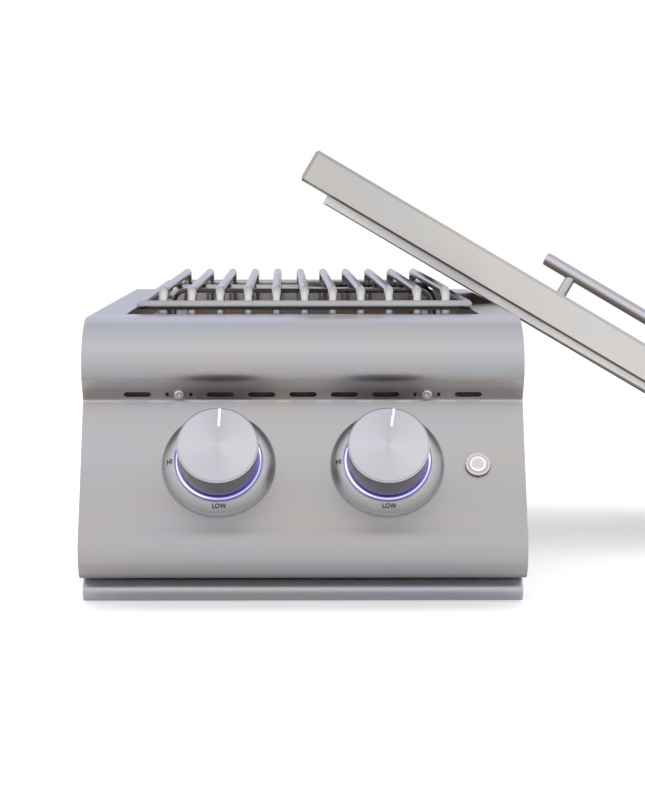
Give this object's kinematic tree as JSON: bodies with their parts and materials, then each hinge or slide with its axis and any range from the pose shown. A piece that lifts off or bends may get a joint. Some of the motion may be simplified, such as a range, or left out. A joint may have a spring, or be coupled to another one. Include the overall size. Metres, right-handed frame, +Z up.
{
  "type": "built in side burner",
  "caption": "Drop-in outdoor gas side burner: steel deck, rod grate over round burners, curved front with lit knobs, drip tray and a lift-off lid leaning on its edge.",
  "frame": {"origin": "centre of the deck's outline, on the plane of the folded hem's underside, which rests on the counter", "axes": "+X to the cook's right, where the lid leans, +Y to the back, +Z up"},
  "size_m": [0.7784, 0.827, 0.3707],
  "materials": {
    "stainless": "fine brushed",
    "inner_steel": "plain mill",
    "screw_steel": "bright",
    "burner_iron": "cast, dark",
    "brass": "machined",
    "ceramic": "glazed ceramic",
    "rod_steel": "polished rod",
    "satin_bezel": "satin",
    "light_ring": "lit, blue white",
    "warm_ring": "lit, warm white",
    "knob_body": "dark grey",
    "knob_face": "turned",
    "stem_steel": "machined",
    "spring_steel": "wire",
    "button": "satin",
    "black_plastic": "plain",
    "lead_sleeve": "sleeved wire"
  },
  "bodies": {
    "housing": {"top_deck": "stainless", "burner_pan": "inner_steel", "front_burner_base": "burner_iron", "front_burner_ring": "brass", "front_igniter": "ceramic", "rear_burner_base": "burner_iron", "rear_burner_ring": "brass", "rear_igniter": "ceramic", "burner_screws": "screw_steel", "gas_orifices": "brass", "gas_manifold": "inner_steel", "supply_pipe": "inner_steel", "gas_inlet": "brass", "manifold_brackets": "inner_steel", "left_valve": "brass", "left_supply_tube": "inner_steel", "left_bezel": "satin_bezel", "left_light_ring": "light_ring", "left_return_spring": "spring_steel", "right_valve": "brass", "right_supply_tube": "inner_steel", "right_bezel": "satin_bezel", "right_light_ring": "light_ring", "right_return_spring": "spring_steel", "switch_housing": "satin_bezel", "switch_light_ring": "warm_ring", "switch_nut": "black_plastic", "switch_spring": "spring_steel", "light_driver": "black_plastic", "power_inlet": "black_plastic", "light_leads": "lead_sleeve", "spark_leads": "lead_sleeve", "outer_box": "inner_steel", "tray_rails": "inner_steel", "front_panel": "stainless", "left_end_plate": "stainless", "right_end_plate": "stainless", "panel_screws": "screw_steel", "panel_tabs": "inner_steel"},
    "drip_tray": {"drip_tray": "inner_steel", "tray_front": "stainless"},
    "left_push": {"left_push_collar": "brass"},
    "left_knob": {"left_knob": "knob_body", "left_knob_face": "knob_face", "left_stem": "stem_steel"},
    "right_push": {"right_push_collar": "brass"},
    "right_knob": {"right_knob": "knob_body", "right_knob_face": "knob_face", "right_stem": "stem_steel"},
    "light_button": {"switch_button": "button"},
    "grate": {"grate_bars": "rod_steel", "grate_ring": "rod_steel", "grate_cross_rod": "rod_steel"},
    "front_cap": {"front_burner_cap": "burner_iron"},
    "rear_cap": {"rear_burner_cap": "burner_iron"},
    "lid": {"lid_shell": "stainless", "lid_liner": "inner_steel", "handle_bar": "stainless", "handle_posts": "stainless", "handle_screws": "screw_steel"}
  },
  "joints": [
    {"name": "tray_slide", "type": "slide", "parent": "housing", "child": "drip_tray", "axis": [0, -1, 0], "range_m": [0, 0.33]},
    {"name": "left_knob_push", "type": "slide", "parent": "housing", "child": "left_push", "axis": [0, 0.8704, -0.4924], "range_m": [0, 0.0035], "stiffness_N_per_m": 900, "springref_m": -0.002},
    {"name": "left_knob_turn", "type": "hinge", "parent": "left_push", "child": "left_knob", "pos_m": [-0.0674, -0.41632, -0.11318], "axis": [0, -0.8704, 0.4924], "range_deg": [0, 180]},
    {"name": "right_knob_push", "type": "slide", "parent": "housing", "child": "right_push", "axis": [0, 0.8704, -0.4924], "range_m": [0, 0.0035], "stiffness_N_per_m": 900, "springref_m": -0.002},
    {"name": "right_knob_turn", "type": "hinge", "parent": "right_push", "child": "right_knob", "pos_m": [0.0674, -0.41632, -0.11318], "axis": [0, -0.8704, 0.4924], "range_deg": [0, 180]},
    {"name": "light_button_push", "type": "slide", "parent": "housing", "child": "light_button", "axis": [0, 0.8704, -0.4924], "range_m": [0, 0.002], "stiffness_N_per_m": 400, "springref_m": -0.002},
    {"name": "grate_lift", "type": "slide", "parent": "housing", "child": "grate", "axis": [-0.7071, 0, 0.7071], "range_m": [0, 0.03]},
    {"name": "front_cap_lift", "type": "slide", "parent": "housing", "child": "front_cap", "axis": [0, 0, 1], "range_m": [0, 0.02]},
    {"name": "rear_cap_lift", "type": "slide", "parent": "housing", "child": "rear_cap", "axis": [0, 0, 1], "range_m": [0, 0.02]},
    {"name": "lid_lift", "type": "slide", "parent": "housing", "child": "lid", "axis": [0, 0, 1], "range_m": [0, 0.3]}
  ]
}
